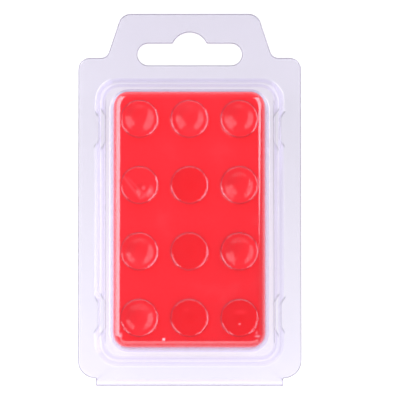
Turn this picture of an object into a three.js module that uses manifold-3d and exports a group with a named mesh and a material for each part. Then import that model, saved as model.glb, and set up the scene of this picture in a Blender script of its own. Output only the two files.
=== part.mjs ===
// A bar of detailing clay in a clear hinged clamshell with a hang tab.
// Millimetres. The pack lies on its back: +Z points out of its front and +Y towards the hang tab.
// The origin is the middle of the back, at the level of the surface that it lies on.

import * as THREE from 'three';
import { mergeVertices } from 'three/addons/utils/BufferGeometryUtils.js';
import Module from 'manifold-3d';

const wasm = await Module();
wasm.setup();

// ---- driving dimensions ----

const sheet = 0.5; // thickness of the formed plastic
const gap = 0.3; // clearance between neighbouring pieces

const packHalfWidth = 33.95;
const packHalfLength = 57;
const cornerRadius = 5.3; // at the foot of the flange
const shoulderRadius = 3.5;
const shoulderY = 43.5;

const tabTopHalfWidth = 20.75;
const tabFootHalfWidth = 25.2;
const tabTopRadius = 2.6;
const tabFootRadius = 1.8;

const slotHalfWidth = 16; // a 32 mm euro slot
const slotHeight = 6.75;
const slotY = 44.6;
const humpRadius = 5.67;
const humpTopY = 51.4;
const humpFillet = 1;

const hingeHalfWidth = 28.4;
const hingeFootY = -54.1; // where the flange ends and the hinge strip starts

const pocketY = -6.6; // middle of the pocket, the snap wall and the plug
const snapWall = { halfWidth: 28.7, halfLength: 43.9, radius: 7, draft: 1.5 };
const snapWallHeight = 4;
const pocket = { halfWidth: 24, halfLength: 39.6, radius: 5.8, draft: 1 };
const faceHeight = 22; // outside of the pocket's face above the table
const faceEdgeRadius = 3.2;
const plug = { halfWidth: 26.9, halfLength: 42.2, radius: 5.6, draft: 0.9 };
const plugHeight = 3.5;

const snapDentY = 28.3; // from the middle of the pocket
const snapDentHalfLength = 3.6;
const snapDentDepth = 0.9;

const dimplesY = -6.4; // middle of the dimples
const dimpleColumns = 3;
const dimpleRows = 4;
const dimplePitchX = 14.85;
const dimplePitchY = 19.7;
const dimpleRadius = 5.25;
const dimpleDepth = 0.45;

const past = 1; // how far a cutting shape reaches past what it cuts
const rimPast = 0.03; // radians of a dimple's sphere that reach past its rim

// ---- derived heights ----

const frontFlangeZ = sheet + gap;
const frontFlangeTop = frontFlangeZ + sheet;
const ledgeTop = frontFlangeTop + snapWallHeight;
const plugTop = sheet + plugHeight;
const clayFoot = plugTop + gap;
const foldZ = frontFlangeTop / 2;
const foldY = -packHalfLength + foldZ;

// ---- solids ----

// A closed geometry as a manifold solid, its shared vertices merged and slivers at the poles dropped.
function toSolid(geometry) {
  geometry.deleteAttribute('normal');
  geometry.deleteAttribute('uv');
  const merged = mergeVertices(geometry, 1e-4);
  const corners = merged.index.array;
  const triangles = [];
  for (let i = 0; i < corners.length; i += 3) {
    const [a, b, c] = corners.slice(i, i + 3);
    if (a !== b && b !== c && c !== a) {
      triangles.push(a, b, c);
    }
  }
  return new wasm.Manifold(new wasm.Mesh({
    numProp: 3,
    vertProperties: new Float32Array(merged.attributes.position.array),
    triVerts: new Uint32Array(triangles),
  }));
}

function toGeometry(solid) {
  const mesh = solid.getMesh();
  const geometry = new THREE.BufferGeometry();
  geometry.setAttribute('position', new THREE.BufferAttribute(mesh.vertProperties, mesh.numProp));
  geometry.setIndex(new THREE.BufferAttribute(mesh.triVerts, 1));
  geometry.computeVertexNormals();
  return geometry;
}

function extruded(shape, low, high) {
  const geometry = new THREE.ExtrudeGeometry(shape, {
    depth: high - low,
    bevelEnabled: false,
    curveSegments: 8,
  });
  geometry.translate(0, 0, low);
  return toSolid(geometry);
}

// An outline through corners [x, y, radius], each rounded by its own radius.
function roundedOutline(corners) {
  const shape = new THREE.Shape();
  corners.forEach(([x, y, radius], i) => {
    const corner = new THREE.Vector2(x, y);
    const before = new THREE.Vector2(...corners.at(i - 1)).sub(corner).normalize();
    const after = new THREE.Vector2(...corners[(i + 1) % corners.length]).sub(corner).normalize();
    const halfAngle = Math.acos(before.dot(after)) / 2;
    const middle = before.clone().add(after).normalize();
    const centre = middle.multiplyScalar(radius / Math.sin(halfAngle)).add(corner);
    const reach = radius / Math.tan(halfAngle);
    const start = before.multiplyScalar(reach).add(corner).sub(centre);
    const end = after.multiplyScalar(reach).add(corner).sub(centre);
    const clockwise = start.cross(end) < 0;
    shape.absarc(centre.x, centre.y, radius, start.angle(), end.angle(), clockwise);
  });
  return shape;
}

// The rounded rectangle that a wall stands on, drawn in by inset all round.
function wallOutline({ halfWidth, halfLength, radius }, inset) {
  const x = halfWidth - inset;
  const y = halfLength - inset;
  const r = radius - inset;
  return roundedOutline([[x, -y, r], [x, y, r], [-x, y, r], [-x, -y, r]]);
}

// A drafted block round the middle of the pocket. Its profile lists [inset, height] from foot to top.
function draftedBlock(wall, profile) {
  const [firstInset] = profile[0];
  const geometry = new THREE.ExtrudeGeometry(wallOutline(wall, firstInset), {
    depth: profile.length - 1,
    steps: profile.length - 1,
    bevelEnabled: false,
    curveSegments: 6,
  });
  const position = geometry.attributes.position;
  for (let i = 0; i < position.count; i += 1) {
    const [inset, height] = profile[Math.round(position.getZ(i))];
    const centreX = Math.sign(position.getX(i)) * (wall.halfWidth - wall.radius);
    const centreY = Math.sign(position.getY(i)) * (wall.halfLength - wall.radius);
    const scale = (wall.radius - inset) / (wall.radius - firstInset);
    position.setX(i, centreX + (position.getX(i) - centreX) * scale);
    position.setY(i, centreY + (position.getY(i) - centreY) * scale + pocketY);
    position.setZ(i, height);
  }
  return toSolid(geometry);
}

// Four prisms that press a wall inwards, two on each side, each reaching in from its foot by depth.
function snapDents(wall, depth, halfLength) {
  const outer = wall.halfWidth + past;
  const inner = wall.halfWidth - depth;
  const ramp = depth + past;
  const prisms = [];
  for (const side of [-1, 1]) {
    for (const end of [-1, 1]) {
      const y = pocketY + end * snapDentY;
      const shape = new THREE.Shape([
        new THREE.Vector2(side * outer, y - side * (halfLength + ramp)),
        new THREE.Vector2(side * outer, y + side * (halfLength + ramp)),
        new THREE.Vector2(side * inner, y + side * halfLength),
        new THREE.Vector2(side * inner, y - side * halfLength),
      ]);
      prisms.push(extruded(shape, -past, ledgeTop + past));
    }
  }
  return prisms.reduce((whole, prism) => whole.add(prism));
}

// The round dishes pressed into the face, thickened by offset, as lenses that reach above the face.
function dimples(offset) {
  const formRadius = (dimpleRadius ** 2 + dimpleDepth ** 2) / (2 * dimpleDepth);
  const centreHeight = faceHeight + formRadius - dimpleDepth;
  const radius = formRadius + offset;
  const reach = Math.asin(dimpleRadius / formRadius) + rimPast;
  const start = -Math.PI / 2;
  const arc = new THREE.EllipseCurve(0, centreHeight, radius, radius, start, start + reach);
  const profile = arc.getPoints(3);
  profile.push(new THREE.Vector2(0, profile.at(-1).y));
  const lenses = [];
  for (let column = 0; column < dimpleColumns; column += 1) {
    for (let row = 0; row < dimpleRows; row += 1) {
      const lens = new THREE.LatheGeometry(profile, 20);
      lens.rotateX(Math.PI / 2);
      lens.translate(
        (column - (dimpleColumns - 1) / 2) * dimplePitchX,
        dimplesY + (row - (dimpleRows - 1) / 2) * dimplePitchY,
        0,
      );
      lenses.push(toSolid(lens));
    }
  }
  return lenses.reduce((whole, lens) => whole.add(lens));
}

// The pocket, drawn in by offset: upright to the ledge, then a drafted wall and a rounded edge.
function pocketProfile(foot, offset) {
  const radius = faceEdgeRadius - offset;
  const top = faceHeight - offset;
  const inset = offset + pocket.draft;
  const profile = [[offset, foot], [offset, ledgeTop - Math.min(offset, sheet)]];
  for (const turn of [0, 22.5, 45, 67.5, 90]) {
    const angle = THREE.MathUtils.degToRad(turn);
    profile.push([inset + radius * (1 - Math.cos(angle)), top - radius * (1 - Math.sin(angle))]);
  }
  return profile;
}

// ---- sub-parts ----

function euroSlot() {
  const radius = slotHeight / 2;
  const high = slotY + radius;
  const end = slotHalfWidth - radius;
  const humpY = humpTopY - humpRadius;
  const start = Math.asin((high + humpFillet - humpY) / humpRadius);
  const humpFoot = humpRadius * Math.cos(start);
  const slot = new THREE.Path();
  slot.absarc(end, slotY, radius, -Math.PI / 2, Math.PI / 2);
  slot.lineTo(humpFoot + humpFillet, high);
  slot.quadraticCurveTo(humpFoot, high, humpFoot, high + humpFillet);
  slot.absarc(0, humpY, humpRadius, start, Math.PI - start);
  slot.quadraticCurveTo(-humpFoot, high, -humpFoot - humpFillet, high);
  slot.absarc(-end, slotY, radius, Math.PI / 2, 3 * Math.PI / 2);
  return slot;
}

function flange(low) {
  const shape = roundedOutline([
    [packHalfWidth, hingeFootY, cornerRadius],
    [packHalfWidth, shoulderY, shoulderRadius],
    [tabFootHalfWidth, shoulderY, tabFootRadius],
    [tabTopHalfWidth, packHalfLength, tabTopRadius],
    [-tabTopHalfWidth, packHalfLength, tabTopRadius],
    [-tabFootHalfWidth, shoulderY, tabFootRadius],
    [-packHalfWidth, shoulderY, shoulderRadius],
    [-packHalfWidth, hingeFootY, cornerRadius],
  ]);
  shape.holes.push(euroSlot());
  return extruded(shape, low, low + sheet);
}

function backShell() {
  const outside = draftedBlock(plug, [[0, 0], [0, sheet], [plug.draft, plugTop]])
    .subtract(snapDents(plug, snapDentDepth, snapDentHalfLength + sheet + gap));
  const inside = draftedBlock(plug, [[sheet, -past], [sheet, 0], [sheet + plug.draft, plugTop - sheet]])
    .subtract(snapDents(plug, snapDentDepth + sheet, snapDentHalfLength + 2 * sheet + gap));
  return flange(0).add(outside).subtract(inside);
}

function frontShell() {
  const wallOutside = draftedBlock(snapWall, [
    [0, frontFlangeZ],
    [0, frontFlangeTop],
    [snapWall.draft, ledgeTop],
  ]).subtract(snapDents(snapWall, snapDentDepth, snapDentHalfLength));
  const wallInside = draftedBlock(snapWall, [
    [sheet, frontFlangeZ - past],
    [sheet, frontFlangeZ],
    [sheet + snapWall.draft, ledgeTop - sheet],
  ]).subtract(snapDents(snapWall, snapDentDepth + sheet, snapDentHalfLength + sheet));
  const foot = frontFlangeTop;
  const pocketOutside = draftedBlock(pocket, pocketProfile(foot, 0)).subtract(dimples(0));
  const pocketInside = draftedBlock(pocket, pocketProfile(foot, sheet)).subtract(dimples(sheet));
  return flange(frontFlangeZ)
    .add(wallOutside)
    .add(pocketOutside)
    .subtract(wallInside)
    .subtract(pocketInside);
}

function clayBar() {
  const offset = sheet + gap;
  return draftedBlock(pocket, pocketProfile(clayFoot, offset)).subtract(dimples(offset));
}

function hingeLeaf(low) {
  const start = hingeFootY - gap;
  const shape = new THREE.Shape([
    new THREE.Vector2(-hingeHalfWidth, foldY + gap),
    new THREE.Vector2(hingeHalfWidth, foldY + gap),
    new THREE.Vector2(hingeHalfWidth, start),
    new THREE.Vector2(-hingeHalfWidth, start),
  ]);
  return extruded(shape, low, low + sheet);
}

// The half-round bend that joins the two leaves. It opens and closes with the pack.
function hingeFold() {
  const shape = new THREE.Shape();
  shape.absarc(0, 0, foldZ, Math.PI / 2, 3 * Math.PI / 2);
  shape.absarc(0, 0, foldZ - sheet, 3 * Math.PI / 2, Math.PI / 2, true);
  const geometry = new THREE.ExtrudeGeometry(shape, {
    depth: 2 * hingeHalfWidth,
    bevelEnabled: false,
    curveSegments: 8,
  });
  geometry.translate(0, 0, -hingeHalfWidth);
  geometry.rotateY(Math.PI / 2);
  geometry.rotateX(Math.PI / 2);
  geometry.translate(0, foldY, foldZ);
  return toSolid(geometry);
}

// ---- assembly ----

const clearPlastic = {
  color: 0xe4e0ef,
  roughness: 0.08,
  metalness: 0,
  transparent: true,
  opacity: 0.35,
};
const redClay = { color: 0xff3742, roughness: 0.45, metalness: 0 };

const group = new THREE.Group();

function place(name, solid, finish) {
  const mesh = new THREE.Mesh(toGeometry(solid), new THREE.MeshStandardMaterial(finish));
  mesh.name = name;
  group.add(mesh);
}

place('back_shell', backShell(), clearPlastic);
place('front_shell', frontShell(), clearPlastic);
place('hinge_back_leaf', hingeLeaf(0), clearPlastic);
place('hinge_front_leaf', hingeLeaf(frontFlangeZ), clearPlastic);
place('hinge_fold', hingeFold(), clearPlastic);
place('clay_bar', clayBar(), redClay);

export default group;
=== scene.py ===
import math

import bmesh
import bpy
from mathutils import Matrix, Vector


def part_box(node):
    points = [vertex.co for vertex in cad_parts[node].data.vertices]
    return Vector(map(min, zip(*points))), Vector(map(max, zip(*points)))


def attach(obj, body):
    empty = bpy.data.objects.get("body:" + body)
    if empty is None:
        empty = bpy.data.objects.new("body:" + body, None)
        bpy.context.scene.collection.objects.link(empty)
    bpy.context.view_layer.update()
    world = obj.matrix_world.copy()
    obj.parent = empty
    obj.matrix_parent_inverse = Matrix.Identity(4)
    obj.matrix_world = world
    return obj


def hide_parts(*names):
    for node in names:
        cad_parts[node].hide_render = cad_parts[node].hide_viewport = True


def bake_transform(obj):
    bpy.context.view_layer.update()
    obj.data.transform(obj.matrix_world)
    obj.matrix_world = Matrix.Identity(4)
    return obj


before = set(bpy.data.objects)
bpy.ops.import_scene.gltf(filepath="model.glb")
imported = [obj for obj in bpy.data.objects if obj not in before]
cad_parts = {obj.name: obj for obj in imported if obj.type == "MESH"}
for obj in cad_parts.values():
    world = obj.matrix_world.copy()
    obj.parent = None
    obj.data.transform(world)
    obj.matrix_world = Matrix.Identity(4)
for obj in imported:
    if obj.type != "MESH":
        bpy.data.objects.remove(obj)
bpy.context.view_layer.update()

mm = 0.001

# The pack lies on its back, +Z out of its front, +Y towards the hang tab, as the frame has it.
backLow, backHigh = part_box("back_shell")
frontLow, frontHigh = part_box("front_shell")
clayLow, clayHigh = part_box("clay_bar")
foldLow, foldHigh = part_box("hinge_fold")

sheet = 0.5 * mm
pocketY = (clayLow.y + clayHigh.y) / 2
backFlangeTop = backLow.z + sheet
frontFlangeTop = frontLow.z + sheet
foldZ = (foldLow.z + foldHigh.z) / 2
foldY = foldHigh.y
edge = 1 * mm  # how far a form starts outside its wall, and a cutter reaches past what it cuts


# Selecting and shaping

def deselectAll():
    bpy.ops.object.select_all(action="DESELECT")


def makeActive(piece):
    deselectAll()
    piece.select_set(True)
    bpy.context.view_layer.objects.active = piece


def editMode(piece):
    makeActive(piece)
    bpy.ops.object.mode_set(mode="EDIT")


def objectMode():
    bpy.ops.object.mode_set(mode="OBJECT")


def selectWhere(piece, kind, test):
    bpy.ops.mesh.select_mode(type={"verts": "VERT", "edges": "EDGE", "faces": "FACE"}[kind])
    bpy.ops.mesh.select_all(action="DESELECT")
    mesh = bmesh.from_edit_mesh(piece.data)
    for element in getattr(mesh, kind):
        if test(element):
            element.select_set(True)
    bmesh.update_edit_mesh(piece.data)


def near(value, target, reach=0.02 * mm):
    return abs(value - target) < reach


def applyModifier(piece, kind, **settings):
    makeActive(piece)
    modifier = piece.modifiers.new(kind.title(), kind)
    for name, value in settings.items():
        setattr(modifier, name, value)
    bpy.ops.object.modifier_apply(modifier=modifier.name)


def joined(name, pieces):
    makeActive(pieces[0])
    for piece in pieces[1:]:
        piece.select_set(True)
    bpy.ops.object.join()
    pieces[0].name = name
    return pieces[0]


def copied(piece, offset):
    makeActive(piece)
    bpy.ops.object.duplicate(linked=False)
    twin = bpy.context.object
    bpy.ops.transform.translate(value=offset)
    bpy.ops.object.transform_apply(location=True, rotation=True, scale=True)
    return twin


# A profile through corners (inset, height), each inner corner rounded by its radius.
def filleted(corners, radii, cuts=5):
    points = [Vector(corners[0])]
    for before, corner, after, radius in zip(corners, corners[1:], corners[2:], radii):
        corner = Vector(corner)
        inward = (Vector(before) - corner).normalized()
        onward = (Vector(after) - corner).normalized()
        halfAngle = inward.angle(onward) / 2
        reach = radius / math.tan(halfAngle)
        centre = corner + (inward + onward).normalized() * radius / math.sin(halfAngle)
        start = corner + inward * reach - centre
        end = corner + onward * reach - centre
        for step in range(cuts + 1):
            points.append(centre + start.slerp(end, step / cuts) * radius)
    points.append(Vector(corners[-1]))
    return points


def roundedPlate(name, halfWidth, halfLength, radius, height, cuts=10):
    deselectAll()
    bpy.ops.mesh.primitive_plane_add(size=2, location=(0, pocketY, height))
    plate = bpy.context.object
    plate.name = name
    plate.scale = (halfWidth, halfLength, 1)
    bpy.ops.object.transform_apply(location=True, rotation=True, scale=True)
    editMode(plate)
    bpy.ops.mesh.select_all(action="SELECT")
    bpy.ops.mesh.bevel(offset=radius, offset_type="OFFSET", segments=cuts, profile=0.5, affect="VERTICES")
    objectMode()
    return plate


# Raises a plate along a profile: each step draws its top face in, then moves it to the next height.
def raised(plate, profile):
    editMode(plate)
    bpy.ops.mesh.select_mode(type="FACE")
    bpy.ops.mesh.select_all(action="SELECT")
    for before, after in zip(profile, profile[1:]):
        step = after - before
        if step.x > 1e-7:
            bpy.ops.mesh.inset(thickness=step.x, depth=0, use_even_offset=True)
            bpy.ops.transform.translate(value=(0, 0, step.y))
        elif abs(step.y) > 1e-7:
            bpy.ops.mesh.extrude_region_move(TRANSFORM_OT_translate={"value": (0, 0, step.y)})
    objectMode()
    return plate


def closeFoot(form, height, depth=0):
    editMode(form)
    selectWhere(form, "edges", lambda e: e.is_boundary and all(near(v.co.z, height) for v in e.verts))
    if depth:
        bpy.ops.mesh.extrude_region_move(TRANSFORM_OT_translate={"value": (0, 0, -depth)})
    bpy.ops.mesh.edge_face_add()
    bpy.ops.mesh.select_all(action="SELECT")
    bpy.ops.mesh.normals_make_consistent(inside=False)
    objectMode()


# Takes off a form's foot and brim, and leaves its wall open just above them
def openFoot(form, height):
    editMode(form)
    bpy.ops.mesh.select_all(action="SELECT")
    bpy.ops.mesh.bisect(
        plane_co=(0, 0, height + 0.0005 * mm), plane_no=(0, 0, 1), clear_inner=True, threshold=0.0001 * mm
    )
    objectMode()


def deleteFlat(form, height):
    editMode(form)
    selectWhere(form, "faces", lambda f: all(near(v.co.z, height, 0.001 * mm) for v in f.verts))
    bpy.ops.mesh.delete(type="FACE")
    objectMode()


def cutAway(piece, cutter):
    applyModifier(piece, "BOOLEAN", operation="DIFFERENCE", solver="MANIFOLD", object=cutter)
    bpy.data.objects.remove(cutter)


# Fills the flat band between all open loops that lie at one height.
def fillAt(piece, height):
    editMode(piece)
    selectWhere(
        piece,
        "edges",
        lambda e: (e.is_boundary or e.is_wire) and all(near(v.co.z, height, 0.001 * mm) for v in e.verts),
    )
    bpy.ops.mesh.fill(use_beauty=True)
    objectMode()


# The dimples pressed into the pocket's face

dimples = {
    "middleY": -6.4 * mm,
    "columns": 3,
    "rows": 4,
    "pitchX": 14.85 * mm,
    "pitchY": 19.7 * mm,
    "radius": 5.25 * mm,
    "depth": 0.45 * mm,
    "rimHeight": 0.3 * mm,
    "rimWidth": 0.16 * mm,
    "rimFillet": 0.1 * mm,
    "cuts": 64,
}


def dimplePlaces():
    for row in range(dimples["rows"]):
        for column in range(dimples["columns"]):
            x = (column - (dimples["columns"] - 1) / 2) * dimples["pitchX"]
            y = dimples["middleY"] + ((dimples["rows"] - 1) / 2 - row) * dimples["pitchY"]
            yield column, row, x, y


# A shallow dish with a crisp rim, drawn from its axis outwards as (radius, height above the face).
def dishProfile(offset):
    rimFoot = dimples["radius"] - dimples["rimWidth"]
    sag = dimples["depth"] - dimples["rimHeight"]
    formRadius = (rimFoot ** 2 + sag ** 2) / (2 * sag)
    points = []
    for step in range(12):
        radius = rimFoot * step / 12
        points.append((radius, formRadius - dimples["depth"] - math.sqrt(formRadius ** 2 - radius ** 2)))
    # the sheet's underside lies further out at the steep rim, so the clay's dish is wider by its thickness
    spread = 0.9 * offset
    top = dimples["radius"] + spread
    rim = [points[-1], (rimFoot + spread, -dimples["rimHeight"]), (top, 0), (top + edge, 0)]
    points = [Vector(p) for p in points[:-1]] + filleted(rim, [dimples["rimFillet"]] * 2, 4)[:-1]
    for point in points:
        point.y += 0.003 * mm - offset
    points.append(Vector((points[-1].x + 0.05 * mm, edge)))
    return points


def dimpleCutters(height, offset):
    profile = list(reversed(dishProfile(offset)))
    outer = profile[0].x
    first = None
    cutters = []
    for column, row, x, y in dimplePlaces():
        if first is None:
            deselectAll()
            bpy.ops.mesh.primitive_circle_add(
                vertices=dimples["cuts"],
                radius=outer,
                fill_type="NGON",
                location=(x, y, height + profile[0].y),
            )
            first = bpy.context.object
            bpy.ops.object.transform_apply(location=True, rotation=True, scale=True)
            steps = [Vector((outer - p.x, height + p.y)) for p in profile[:-1]]
            raised(first, steps)
            editMode(first)
            bpy.ops.mesh.poke()
            selectWhere(first, "verts", lambda v: near(v.co.x, x) and near(v.co.y, y))
            bpy.ops.transform.translate(value=(0, 0, profile[-1].y - profile[-2].y))
            objectMode()
            closeFoot(first, height + profile[0].y)
            firstPlace = Vector((x, y, 0))
            cutters.append(first)
        else:
            cutters.append(copied(first, Vector((x, y, 0)) - firstPlace))
    return joined("dimpleCutters", cutters)


# The dents that snap the two shells' walls together, two on each side

snaps = {"y": 28.3 * mm, "halfLength": 3.6 * mm, "depth": 0.9 * mm, "ramp": 1.3 * mm, "soften": 0.7 * mm}


def snapCutters(wallHalfWidth, low, high, spare):
    cutters = []
    for side in (-1, 1):
        for end in (-1, 1):
            deselectAll()
            width = snaps["depth"] + 1.5 * edge
            middle = side * (wallHalfWidth - snaps["depth"] + width / 2)
            y = pocketY + end * snaps["y"]
            bpy.ops.mesh.primitive_cube_add(size=1, location=(middle, y, (low + high) / 2))
            cutter = bpy.context.object
            length = 2 * (snaps["halfLength"] + spare + snaps["ramp"] * width / snaps["depth"])
            cutter.scale = (width, length, high - low + 2 * edge)
            bpy.ops.object.transform_apply(location=True, rotation=True, scale=True)
            inner = side * (wallHalfWidth - snaps["depth"])
            editMode(cutter)
            selectWhere(cutter, "verts", lambda v: near(v.co.x, inner))
            narrow = 2 * (snaps["halfLength"] + spare) / length
            bpy.ops.transform.resize(value=(1, narrow, 1))
            selectWhere(
                cutter,
                "edges",
                lambda e: all(near(v.co.x, inner) for v in e.verts)
                and not near(e.verts[0].co.z, e.verts[1].co.z),
            )
            bpy.ops.mesh.bevel(offset=snaps["soften"], segments=4, affect="EDGES")
            objectMode()
            cutters.append(cutter)
    return joined("snapCutters", cutters)


# The flange's outline, with the hang tab at its head and the hinge strip at its foot

flange = {
    "halfWidth": 33.95 * mm,
    "headY": 43.5 * mm,
    "footY": -54.1 * mm,
    "cornerRadius": 5.3 * mm,
    "shoulderRadius": 3.5 * mm,
    "tabHalfWidth": 20.75 * mm,
    "tabFootHalfWidth": 25.2 * mm,
    "tabRadius": 2.6 * mm,
    "tabFootRadius": 1.8 * mm,
    "hingeHalfWidth": 28.4 * mm,
    "hingeFootRadius": 0.7 * mm,
}


def roundCorners(piece, x, y, radius, cuts=8):
    selectWhere(piece, "verts", lambda v: near(abs(v.co.x), x) and near(v.co.y, y))
    bpy.ops.mesh.bevel(offset=radius, offset_type="OFFSET", segments=cuts, profile=0.5, affect="VERTICES")


def growStrip(piece, fromY, toY, footHalfWidth, topHalfWidth):
    def onLine(vert):
        return near(vert.co.y, fromY)

    def inner(vert):
        return onLine(vert) and abs(vert.co.x) < flange["halfWidth"] - edge

    selectWhere(piece, "edges", lambda e: all(onLine(v) for v in e.verts))
    bpy.ops.mesh.subdivide(number_cuts=2)
    selectWhere(piece, "verts", inner)
    mesh = bmesh.from_edit_mesh(piece.data)
    spread = max(abs(v.co.x) for v in mesh.verts if v.select)
    bpy.ops.transform.resize(value=(footHalfWidth / spread, 1, 1))
    selectWhere(piece, "edges", lambda e: all(inner(v) for v in e.verts))
    bpy.ops.mesh.extrude_region_move(TRANSFORM_OT_translate={"value": (0, toY - fromY, 0)})
    bpy.ops.transform.resize(value=(topHalfWidth / footHalfWidth, 1, 1))


def flangeOutline(height):
    deselectAll()
    middleY = (flange["headY"] + flange["footY"]) / 2
    bpy.ops.mesh.primitive_plane_add(size=2, location=(0, middleY, height))
    outline = bpy.context.object
    outline.scale = (flange["halfWidth"], (flange["headY"] - flange["footY"]) / 2, 1)
    bpy.ops.object.transform_apply(location=True, rotation=True, scale=True)
    editMode(outline)
    growStrip(outline, flange["headY"], backHigh.y, flange["tabFootHalfWidth"], flange["tabHalfWidth"])
    growStrip(outline, flange["footY"], foldY, flange["hingeHalfWidth"], flange["hingeHalfWidth"])
    bpy.ops.mesh.select_all(action="SELECT")
    bpy.ops.mesh.dissolve_faces()
    roundCorners(outline, flange["halfWidth"], flange["footY"], flange["cornerRadius"])
    roundCorners(outline, flange["halfWidth"], flange["headY"], flange["shoulderRadius"])
    roundCorners(outline, flange["tabFootHalfWidth"], flange["headY"], flange["tabFootRadius"])
    roundCorners(outline, flange["tabHalfWidth"], backHigh.y, flange["tabRadius"])
    roundCorners(outline, flange["hingeHalfWidth"], flange["footY"], flange["hingeFootRadius"])
    bpy.ops.mesh.select_mode(type="FACE")
    bpy.ops.mesh.select_all(action="SELECT")
    bpy.ops.mesh.delete(type="ONLY_FACE")
    objectMode()
    return outline


euroSlot = {
    "halfWidth": 16 * mm,
    "height": 6.75 * mm,
    "y": 44.6 * mm,
    "humpRadius": 5.67 * mm,
    "humpTop": 51.4 * mm,
    "fillet": 1.0 * mm,
}


def slotCutter(low, high):
    deselectAll()
    bpy.ops.mesh.primitive_cube_add(size=1, location=(0, euroSlot["y"], (low + high) / 2))
    cutter = bpy.context.object
    cutter.scale = (2 * euroSlot["halfWidth"], euroSlot["height"], high - low)
    bpy.ops.object.transform_apply(location=True, rotation=True, scale=True)
    editMode(cutter)
    selectWhere(
        cutter,
        "edges",
        lambda e: near(e.verts[0].co.x, e.verts[1].co.x) and near(e.verts[0].co.y, e.verts[1].co.y),
    )
    # a hair under half the height, so that the two rounds at an end don't meet in one edge
    bpy.ops.mesh.bevel(offset=euroSlot["height"] / 2 * 0.995, segments=14, profile=0.5, affect="EDGES")
    objectMode()
    deselectAll()
    humpY = euroSlot["humpTop"] - euroSlot["humpRadius"]
    bpy.ops.mesh.primitive_cylinder_add(
        vertices=72,
        radius=euroSlot["humpRadius"],
        depth=high - low,
        location=(0, humpY, (low + high) / 2),
    )
    hump = bpy.context.object
    bpy.ops.object.transform_apply(location=True, rotation=True, scale=True)
    # only the hump's upper half is used, above the slot's middle
    editMode(hump)
    bpy.ops.mesh.select_all(action="SELECT")
    bpy.ops.mesh.bisect(plane_co=(0, euroSlot["y"], 0), plane_no=(0, 1, 0), clear_inner=True, use_fill=True)
    objectMode()
    applyModifier(cutter, "BOOLEAN", operation="UNION", solver="MANIFOLD", object=hump)
    bpy.data.objects.remove(hump)
    slotTop = euroSlot["y"] + euroSlot["height"] / 2
    corner = math.sqrt(euroSlot["humpRadius"] ** 2 - (slotTop - humpY) ** 2)
    reach = 0.06 * mm  # the hump is faceted, so its corner lies a little off the true one
    editMode(cutter)
    selectWhere(
        cutter,
        "edges",
        lambda e: all(near(abs(v.co.x), corner, reach) and near(v.co.y, slotTop, reach) for v in e.verts)
        and not near(e.verts[0].co.z, e.verts[1].co.z),
    )
    bpy.ops.mesh.bevel(offset=euroSlot["fillet"], segments=6, affect="EDGES")
    objectMode()
    return cutter


# A low bead pressed across the front leaf of the hinge strip
bead = {"start": -54.3 * mm, "end": -55.7 * mm, "rise": 0.28 * mm, "shoulder": 0.7}


def pressBead(shell):
    middle = (bead["start"] + bead["end"]) / 2
    upper = (bead["start"] + middle) / 2
    lower = (bead["end"] + middle) / 2
    reach = flange["hingeHalfWidth"] + edge / 2
    editMode(shell)
    for y in (bead["start"], upper, middle, lower, bead["end"]):
        bpy.ops.mesh.select_all(action="SELECT")
        bpy.ops.mesh.bisect(plane_co=(0, y, 0), plane_no=(0, 1, 0))
    for y, share in ((upper, bead["shoulder"]), (middle, 1), (lower, bead["shoulder"])):
        selectWhere(shell, "verts", lambda v: near(v.co.y, y) and abs(v.co.x) < reach)
        bpy.ops.transform.translate(value=(0, 0, bead["rise"] * share))
    objectMode()


# The rounding that the cutting die leaves on the outline and round the slot
cutEdge = {"round": 0.16 * mm, "cuts": 2}


# The rounded faces get the shell's second material, whose greyer tint is painted shade
def softenCut(shell):
    applyModifier(
        shell,
        "BEVEL",
        width=cutEdge["round"],
        segments=cutEdge["cuts"],
        limit_method="ANGLE",
        angle_limit=math.radians(80),
        use_clamp_overlap=False,
        material=1,
    )


def finishSheet(shell):
    shell.data.materials.clear()
    shell.data.materials.append(clearSheet)
    shell.data.materials.append(shadedCutSheet)
    editMode(shell)
    bpy.ops.mesh.select_all(action="SELECT")
    bpy.ops.mesh.remove_doubles(threshold=0.002 * mm)
    bpy.ops.mesh.normals_make_consistent(inside=False)
    mesh = bmesh.from_edit_mesh(shell.data)
    up = sum(f.normal.z * f.calc_area() for f in mesh.faces)
    if up < 0:
        bpy.ops.mesh.flip_normals()
    objectMode()
    applyModifier(shell, "SOLIDIFY", thickness=sheet, offset=-1, use_quality_normals=True)


def smoothed(piece, degrees=30):
    makeActive(piece)
    bpy.ops.object.shade_smooth_by_angle(angle=math.radians(degrees))
    applyModifier(piece, "WEIGHTED_NORMAL", keep_sharp=True, weight=50)


# The back shell: a flat flange with a plug that closes the pocket

plug = {
    "halfWidth": 26.9 * mm,
    "halfLength": 42.2 * mm,
    "radius": 5.6 * mm,
    "draft": 0.9 * mm,
    "fillet": 0.5 * mm,
}


def makeBackShell():
    top = backHigh.z
    form = roundedPlate(
        "plugForm", plug["halfWidth"] + edge, plug["halfLength"] + edge, plug["radius"] + edge, backFlangeTop
    )
    inset = edge + plug["draft"]
    corners = [(0, backFlangeTop), (edge, backFlangeTop), (inset, top), (inset + 2 * edge, top)]
    raised(form, filleted(corners, [plug["fillet"], plug["fillet"]]))
    closeFoot(form, backFlangeTop, edge / 2)
    cutAway(form, snapCutters(plug["halfWidth"], backFlangeTop, top, 0.8 * mm))
    openFoot(form, backFlangeTop)
    shell = joined("backShell", [form, flangeOutline(backFlangeTop)])
    fillAt(shell, backFlangeTop)
    finishSheet(shell)
    cutAway(shell, slotCutter(-2 * mm, 3 * mm))
    softenCut(shell)
    smoothed(shell)
    print("back shell", len(shell.data.polygons))
    return shell


# The front shell: the snap wall, the ledge and the deep pocket

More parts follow.
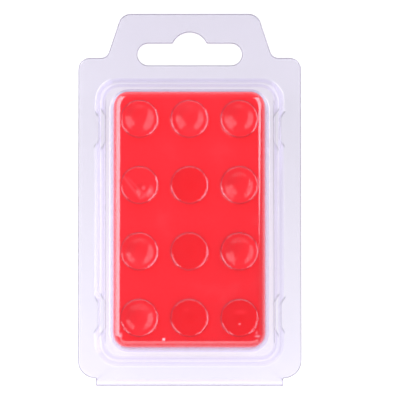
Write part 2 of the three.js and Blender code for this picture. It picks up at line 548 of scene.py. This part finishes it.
snapWall = {
    "halfWidth": 28.7 * mm,
    "halfLength": 43.9 * mm,
    "radius": 7 * mm,
    "draft": 1.5 * mm,
    "height": 4 * mm,
    "fillet": 0.5 * mm,
}
pocket = {
    "halfWidth": 24 * mm,
    "halfLength": 39.6 * mm,
    "radius": 5.8 * mm,
    "draft": 1.0 * mm,
    "mouthFillet": 0.5 * mm,
    "faceEdge": 3.2 * mm,
}


def makeFrontShell():
    ledge = frontFlangeTop + snapWall["height"]
    face = frontHigh.z
    wall = roundedPlate(
        "wallForm",
        snapWall["halfWidth"] + edge,
        snapWall["halfLength"] + edge,
        snapWall["radius"] + edge,
        frontFlangeTop,
    )
    inset = edge + snapWall["draft"]
    corners = [(0, frontFlangeTop), (edge, frontFlangeTop), (inset, ledge), (inset + edge, ledge)]
    raised(wall, filleted(corners, [snapWall["fillet"], snapWall["fillet"]]))
    closeFoot(wall, frontFlangeTop, edge / 2)
    cutAway(wall, snapCutters(snapWall["halfWidth"], frontFlangeTop, ledge, 0))
    openFoot(wall, frontFlangeTop)
    deleteFlat(wall, ledge)

    cup = roundedPlate(
        "pocketForm", pocket["halfWidth"] + edge, pocket["halfLength"] + edge, pocket["radius"] + edge, ledge
    )
    inset = edge + pocket["draft"]
    corners = [(0, ledge), (edge, ledge), (inset, face), (inset + 3 * edge, face)]
    raised(cup, filleted(corners, [pocket["mouthFillet"], pocket["faceEdge"]], 10))
    closeFoot(cup, ledge)
    cutAway(cup, dimpleCutters(face, 0))
    deleteFlat(cup, ledge)

    shell = joined("frontShell", [wall, cup, flangeOutline(frontFlangeTop)])
    fillAt(shell, ledge)
    fillAt(shell, frontFlangeTop)
    pressBead(shell)
    finishSheet(shell)
    cutAway(shell, slotCutter(-1 * mm, 4 * mm))
    softenCut(shell)
    smoothed(shell)
    print("front shell", len(shell.data.polygons))
    return shell


# The fold of the living hinge, a half-round strip between the two leaves

def makeHingeFold():
    deselectAll()
    bpy.ops.mesh.primitive_plane_add(
        size=1, rotation=(math.pi / 2, 0, 0), location=(0, foldY, backLow.z + sheet / 2)
    )
    fold = bpy.context.object
    fold.name = "hingeFold"
    fold.scale = (2 * flange["hingeHalfWidth"], sheet, 1)
    bpy.ops.object.transform_apply(location=True, rotation=True, scale=True)
    editMode(fold)
    bpy.ops.mesh.select_all(action="SELECT")
    bpy.ops.mesh.spin(steps=14, angle=math.pi, center=(0, foldY, foldZ), axis=(1, 0, 0))
    bpy.ops.mesh.select_all(action="SELECT")
    bpy.ops.mesh.remove_doubles(threshold=0.002 * mm)
    bpy.ops.mesh.fill_holes(sides=0)
    bpy.ops.mesh.normals_make_consistent(inside=False)
    objectMode()
    smoothed(fold)
    print("hinge fold", len(fold.data.polygons))
    return fold


# The clay, pressed to the pocket's shape, with pits where air was trapped under a dimple

clay = {
    "clearance": 0.15 * mm,  # air between the clay and the plastic
    "voxel": 0.4 * mm,
    "pits": {  # (column, row): offset across and along, radius and depth, in mm
        (0, 0): (0, 0.3, 4.5, 1.2),
        (1, 0): (0.1, 0.3, 4.4, 1.1),
        (2, 0): (0, 0.3, 4.5, 1.2),
        (0, 1): (1.4, -1.3, 3.0, 0.8),
        (2, 1): (0, -0.2, 4.5, 1.2),
        (0, 2): (0, -0.1, 4.5, 1.1),
        (2, 2): (0.1, 0, 4.5, 1.2),
        (0, 3): (0, 0, 4.5, 1.1),
    },
}


def pitCutters(face):
    cutters = []
    for column, row, x, y in dimplePlaces():
        if (column, row) not in clay["pits"]:
            continue
        across, along, radius, depth = (value * mm for value in clay["pits"][column, row])
        ballRadius = (radius ** 2 + depth ** 2) / (2 * depth)
        deselectAll()
        bpy.ops.mesh.primitive_uv_sphere_add(
            segments=64,
            ring_count=48,
            radius=ballRadius,
            location=(x + across, y + along, face + ballRadius - depth),
        )
        cutters.append(bpy.context.object)
        bpy.ops.object.transform_apply(location=True, rotation=True, scale=True)
    return joined("pitCutters", cutters)


# Where the clay wets the plastic it looks darker, and just outside each dimple it is darker towards the
# lower right. The lighter spots and lines are painted highlights, soft-box reflections and glints over
# trapped air. Places and sizes are in mm.
marks = {
    "wetDishes": [(1, 1), (1, 2), (1, 3), (2, 3)],
    "wetInside": 0.8,
    "halo": 0.75,  # how much darker the clay is just outside a dimple, most towards its lower right
    "haloReach": 1.5 * mm,
    "highlightSpots": [  # painted highlights: centre, half sizes and strength
        ((-13.63, 2.64), (0.55, 0.65), 0.7),
        ((-0.8, -33.6), (0.9, 0.8), 0.4),
        ((15.15, -34.3), (1.9, 0.8), 0.7),
        ((14.9, -37.8), (0.4, 0.4), 2.6),
        ((-7.55, -42.3), (0.42, 0.42), 4.0),
        ((-20.3, -41.2), (0.5, 0.9), 1.6),
        ((20.2, -41.4), (0.9, 0.4), 1.8),
        ((19.9, -40.3), (0.35, 0.6), 1.4),
    ],
    "highlightLines": [  # painted highlight lines: start, end, half width and strength
        ((-19.6, 6.0), (-14.6, -0.6), 0.3, 0.35),
        ((-18.3, 5.6), (-13.8, 1.0), 0.3, 0.2),
        ((-13.9, -0.1), (-11.9, 1.7), 0.5, 0.4),
    ],
}


def darkeningAndHighlights(place):
    value = 0.0
    for column, row, x, y in dimplePlaces():
        across, along = place.x - x, place.y - y
        reach = math.hypot(across, along)
        outside = reach - dimples["radius"]
        if outside > 4 * marks["haloReach"]:
            continue
        if outside > 0:
            lowerRight = (across - along) / reach / math.sqrt(2)
            value -= marks["halo"] * math.exp(-outside / marks["haloReach"]) * (0.55 + 0.45 * lowerRight)
        elif (column, row) in marks["wetDishes"]:
            value -= marks["wetInside"] * (0.75 + 0.25 * math.exp(-((reach / (1.5 * mm)) ** 2)))
    # painted highlights: the lighter spots and lines
    for (x, y), (halfX, halfY), strength in marks["highlightSpots"]:
        reach = math.hypot((place.x - x * mm) / (halfX * mm), (place.y - y * mm) / (halfY * mm))
        value += strength * math.exp(-(reach ** 4))
    for start, end, halfWidth, strength in marks["highlightLines"]:
        start, end = Vector(start) * mm, Vector(end) * mm
        along = max(0, min(1, (place.xy - start).dot(end - start) / (end - start).length_squared))
        reach = (place.xy - start.lerp(end, along)).length / (halfWidth * mm)
        value += strength * math.exp(-(reach ** 2))
    return max(-1, min(3, value))


# Stores the darkening and the painted highlights on the clay's top vertices
def markClay(bar):
    layer = bar.data.attributes.new("darkeningAndHighlights", "FLOAT", "POINT")
    low = clayHigh.z - 4 * mm
    values = [darkeningAndHighlights(v.co) if v.co.z > low else 0.0 for v in bar.data.vertices]
    layer.data.foreach_set("value", values)


def makeClay():
    offset = sheet + clay["clearance"]
    face = frontHigh.z - offset
    ledge = frontFlangeTop + snapWall["height"] - sheet
    bar = roundedPlate(
        "clayBar",
        pocket["halfWidth"] - offset,
        pocket["halfLength"] - offset,
        pocket["radius"] - offset,
        clayLow.z,
    )
    inset = pocket["draft"]
    corners = [(0, clayLow.z), (0, ledge), (inset, face), (inset + 3 * edge, face)]
    raised(bar, filleted(corners, [1.0 * mm, pocket["faceEdge"] - offset], 10))
    closeFoot(bar, clayLow.z)
    cutAway(bar, dimpleCutters(face + offset, offset))
    cutAway(bar, pitCutters(face - dimples["depth"] / 2))
    applyModifier(bar, "REMESH", mode="VOXEL", voxel_size=clay["voxel"])
    applyModifier(bar, "SMOOTH", factor=0.5, iterations=6)
    makeActive(bar)
    bpy.ops.object.shade_smooth()
    markClay(bar)
    print("clay bar", len(bar.data.polygons))
    return bar


# Materials

def linear(colour):
    channels = [int(colour[i:i + 2], 16) / 255 for i in (1, 3, 5)]
    return tuple(c / 12.92 if c <= 0.04045 else ((c + 0.055) / 1.055) ** 2.4 for c in channels) + (1,)


def addNode(tree, kind, settings=(), links=()):
    node = tree.nodes.new(kind)
    for name, value in dict(settings).items():
        if isinstance(name, int) or name in node.inputs:
            node.inputs[name].default_value = value
        else:
            setattr(node, name, value)
    for name, source in dict(links).items():
        tree.links.new(source, node.inputs[name])
    return node


def newMaterial(name):
    material = bpy.data.materials.new(name)
    material.use_nodes = True
    material.node_tree.nodes.clear()
    return material, material.node_tree


# Thermoformed PVC sheet: clear with a faint violet cast, and mirror-smooth off the mould, so that
# it shows most where it turns steep. Its die-cut edge is painted greyer, painted shade for the thin dark
# line round the pack.
plastic = {
    "tint": "#fdfcff",  # of one face
    "cutShadeTint": "#d9d6df",  # of a die-cut edge: painted shade for the thin dark line at the cut
    "steepTint": "#e9e5f3",  # of a face seen edge on, where the way through the sheet is long
    "mirror": 0.055,
    "steepMirror": 0.6,
    "mirrorTint": "#f1eef8",
    "roughness": 0.03,
}


def formedPvc(name, tint):
    material, tree = newMaterial(name)
    place = addNode(tree, "ShaderNodeTexCoord").outputs["Object"]
    waves = addNode(tree, "ShaderNodeTexNoise", {"Scale": 90.0, "Detail": 1.0}, {"Vector": place})
    bump = addNode(
        tree, "ShaderNodeBump", {"Strength": 0.04, "Distance": 0.4 * mm}, {"Height": waves.outputs["Fac"]}
    )
    sheen = addNode(
        tree,
        "ShaderNodeBsdfGlossy",
        {"Color": linear(plastic["mirrorTint"]), "Roughness": plastic["roughness"]},
        {"Normal": bump.outputs[0]},
    )
    facing = addNode(tree, "ShaderNodeLayerWeight", {"Blend": 0.5}).outputs["Facing"]
    thick = addNode(tree, "ShaderNodeMath", {"operation": "POWER", 1: 2.2}, {0: facing})
    depth = addNode(tree, "ShaderNodeValToRGB", {}, {"Fac": thick.outputs[0]})
    depth.color_ramp.elements[0].color = linear(tint)
    depth.color_ramp.elements[1].color = linear(plastic["steepTint"])
    clear = addNode(tree, "ShaderNodeBsdfTransparent", {}, {"Color": depth.outputs["Color"]})
    steep = addNode(tree, "ShaderNodeMath", {"operation": "POWER", 1: 5.0}, {0: facing})
    share = addNode(
        tree,
        "ShaderNodeMapRange",
        {"To Min": plastic["mirror"], "To Max": plastic["steepMirror"]},
        {"Value": steep.outputs[0]},
    )
    mix = addNode(
        tree, "ShaderNodeMixShader", {}, {0: share.outputs[0], 1: clear.outputs[0], 2: sheen.outputs[0]}
    )
    addNode(tree, "ShaderNodeOutputMaterial", {}, {"Surface": mix.outputs[0]})
    return material


# Kneaded polymer clay: a dense red putty, glossy where it was pressed to the sheet and deeper red
# where it wets it. Its lighter pinks, up to near white, are painted highlights.
clayLook = {
    "wet": "#f50e18",
    "body": "#ff2731",
    # painted highlight colours, reached by the lighter spots and lines
    "highlightPink": "#ff6c74",
    "glintPink": "#ffe4e6",
    "roughness": 0.13,
    "mottle": 12 * mm,  # size of the soft patches
}


def kneadedClay():
    material, tree = newMaterial("kneaded_polymer_clay")
    place = addNode(tree, "ShaderNodeTexCoord").outputs["Object"]
    darkAndHighlight = addNode(tree, "ShaderNodeAttribute", {"attribute_name": "darkeningAndHighlights"}).outputs["Fac"]
    patches = addNode(
        tree, "ShaderNodeTexNoise", {"Scale": 1 / clayLook["mottle"], "Detail": 3.0}, {"Vector": place}
    )
    sway = addNode(
        tree, "ShaderNodeMapRange", {"From Min": 0.3, "From Max": 0.7, "To Min": -0.1, "To Max": 0.1},
        {"Value": patches.outputs["Fac"]},
    )
    total = addNode(tree, "ShaderNodeMath", {"operation": "ADD"}, {0: darkAndHighlight, 1: sway.outputs[0]})
    position = addNode(
        tree, "ShaderNodeMapRange", {"From Min": -1.0, "From Max": 3.0}, {"Value": total.outputs[0]}
    )
    # deeper red where wet, lighter pinks for the painted highlights
    ramp = addNode(tree, "ShaderNodeValToRGB", {}, {"Fac": position.outputs[0]})
    stops = ramp.color_ramp.elements
    stops[0].color = linear(clayLook["wet"])
    stops[1].color = linear(clayLook["glintPink"])
    stops.new(0.25).color = linear(clayLook["body"])
    stops.new(0.5).color = linear(clayLook["highlightPink"])
    body = addNode(
        tree,
        "ShaderNodeBsdfPrincipled",
        {"Roughness": clayLook["roughness"], "IOR": 1.42},
        {"Base Color": ramp.outputs["Color"]},
    )
    addNode(tree, "ShaderNodeOutputMaterial", {}, {"Surface": body.outputs[0]})
    return material


# The floor: a sheet of opal acrylic, lit from below, a little more towards the foot of the pack
litFloor = {"body": "#8c8c8e", "head": 0.74, "foot": 1.06, "reach": 60 * mm}


def opalAcrylic():
    material, tree = newMaterial("lit_opal_acrylic_sheet")
    place = addNode(tree, "ShaderNodeTexCoord").outputs["Object"]
    along = addNode(tree, "ShaderNodeSeparateXYZ", {}, {"Vector": place}).outputs["Y"]
    glow = addNode(
        tree,
        "ShaderNodeMapRange",
        {
            "From Min": -litFloor["reach"],
            "From Max": litFloor["reach"],
            "To Min": litFloor["foot"],
            "To Max": litFloor["head"],
        },
        {"Value": along},
    )
    sheetWhite = addNode(
        tree,
        "ShaderNodeBsdfPrincipled",
        {
            "Base Color": linear(litFloor["body"]),
            "Roughness": 0.9,
            "Specular IOR Level": 0.0,
            "Emission Color": (1, 1, 1, 1),
        },
        {"Emission Strength": glow.outputs[0]},
    )
    addNode(tree, "ShaderNodeOutputMaterial", {}, {"Surface": sheetWhite.outputs[0]})
    return material


# Assembly

clearSheet = formedPvc("thermoformed_clear_PVC_sheet", plastic["tint"])
# the die-cut edge, painted greyer as shade
shadedCutSheet = formedPvc("die_cut_PVC_edge_painted_shade", plastic["cutShadeTint"])
backShell = makeBackShell()
frontShell = makeFrontShell()
hingeFold = makeHingeFold()
clayBar = makeClay()

hingeFold.data.materials.append(clearSheet)
clayBar.data.materials.clear()
clayBar.data.materials.append(kneadedClay())

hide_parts("back_shell", "hinge_back_leaf")
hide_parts("front_shell", "hinge_front_leaf")
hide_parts("hinge_fold")
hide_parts("clay_bar")
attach(backShell, "back")
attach(frontShell, "lid")
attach(clayBar, "clay")
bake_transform(hingeFold)

# The floor, the light and the camera

deselectAll()
bpy.ops.mesh.primitive_plane_add(size=6, location=(0, 0, -0.3 * mm))
floor = bpy.context.object
floor.name = "floor"
floor.data.materials.append(opalAcrylic())

studio = {
    "overhead": 0.17,  # radiance straight above, where the tent is open
    "walls": 0.3,  # of its white walls
    "horizon": 1.1,  # and at their foot
    "openTo": 0.93,  # height at which the opening ends and the wall begins, on a sphere of radius 1
    "wallFrom": 0.8,
    "boxes": [  # place, size and power of each soft box, all turned to the pack
        ("leftBox", (-0.25, 0.08, 0.21), (0.46, 0.28), 1.5),
        ("rightBox", (0.2, 0.13, 0.25), (0.22, 0.22), 0.56),
        ("frontCard", (0, -0.26, 0.24), (0.5, 0.2), 0.4),
    ],
}


def lightStudio():
    world = bpy.data.worlds.new("lightTent")
    world.use_nodes = True
    bpy.context.scene.world = world
    tree = world.node_tree
    tree.nodes.clear()
    direction = addNode(tree, "ShaderNodeTexCoord").outputs["Generated"]
    height = addNode(tree, "ShaderNodeSeparateXYZ", {}, {"Vector": direction}).outputs["Z"]
    radiance = addNode(
        tree,
        "ShaderNodeMapRange",
        {
            "interpolation_type": "SMOOTHSTEP",
            "From Min": studio["wallFrom"],
            "From Max": studio["openTo"],
            "To Min": studio["walls"],
            "To Max": studio["overhead"],
        },
        {"Value": height},
    )
    foot = addNode(
        tree,
        "ShaderNodeMapRange",
        {"From Min": 0.1, "From Max": 0.45, "To Min": studio["horizon"] - studio["walls"], "To Max": 0.0},
        {"Value": height},
    )
    total = addNode(
        tree, "ShaderNodeMath", {"operation": "ADD"}, {0: radiance.outputs[0], 1: foot.outputs[0]}
    )
    tent = addNode(tree, "ShaderNodeBackground", {"Color": (1, 1, 1, 1)}, {"Strength": total.outputs[0]})
    addNode(tree, "ShaderNodeOutputWorld", {}, {"Surface": tent.outputs[0]})
    for name, place, (width, height), power in studio["boxes"]:
        deselectAll()
        bpy.ops.object.light_add(type="AREA", location=place)
        box = bpy.context.object
        box.name = name
        box.data.shape = "RECTANGLE"
        box.data.size = width
        box.data.size_y = height
        box.data.energy = power
        box.rotation_euler = Vector(place).to_track_quat("Z", "Y").to_euler()


view = {"distance": 0.8, "tilt": 3.0, "width": 122 * mm, "aimX": 3.15 * mm, "aimY": 0.1 * mm}


def placeCamera():
    deselectAll()
    tilt = math.radians(view["tilt"])
    back = Vector((0, -math.sin(tilt), math.cos(tilt)))
    bpy.ops.object.camera_add(location=Vector((view["aimX"], view["aimY"], 0)) + back * view["distance"])
    camera = bpy.context.object
    camera.rotation_euler = (tilt, 0, 0)
    camera.data.sensor_width = 36
    camera.data.lens = 36 * view["distance"] / view["width"]
    camera.data.clip_start = 0.01
    bpy.context.scene.camera = camera


lightStudio()
placeCamera()
bpy.context.scene.view_settings.view_transform = "Standard"
print("studio ready")
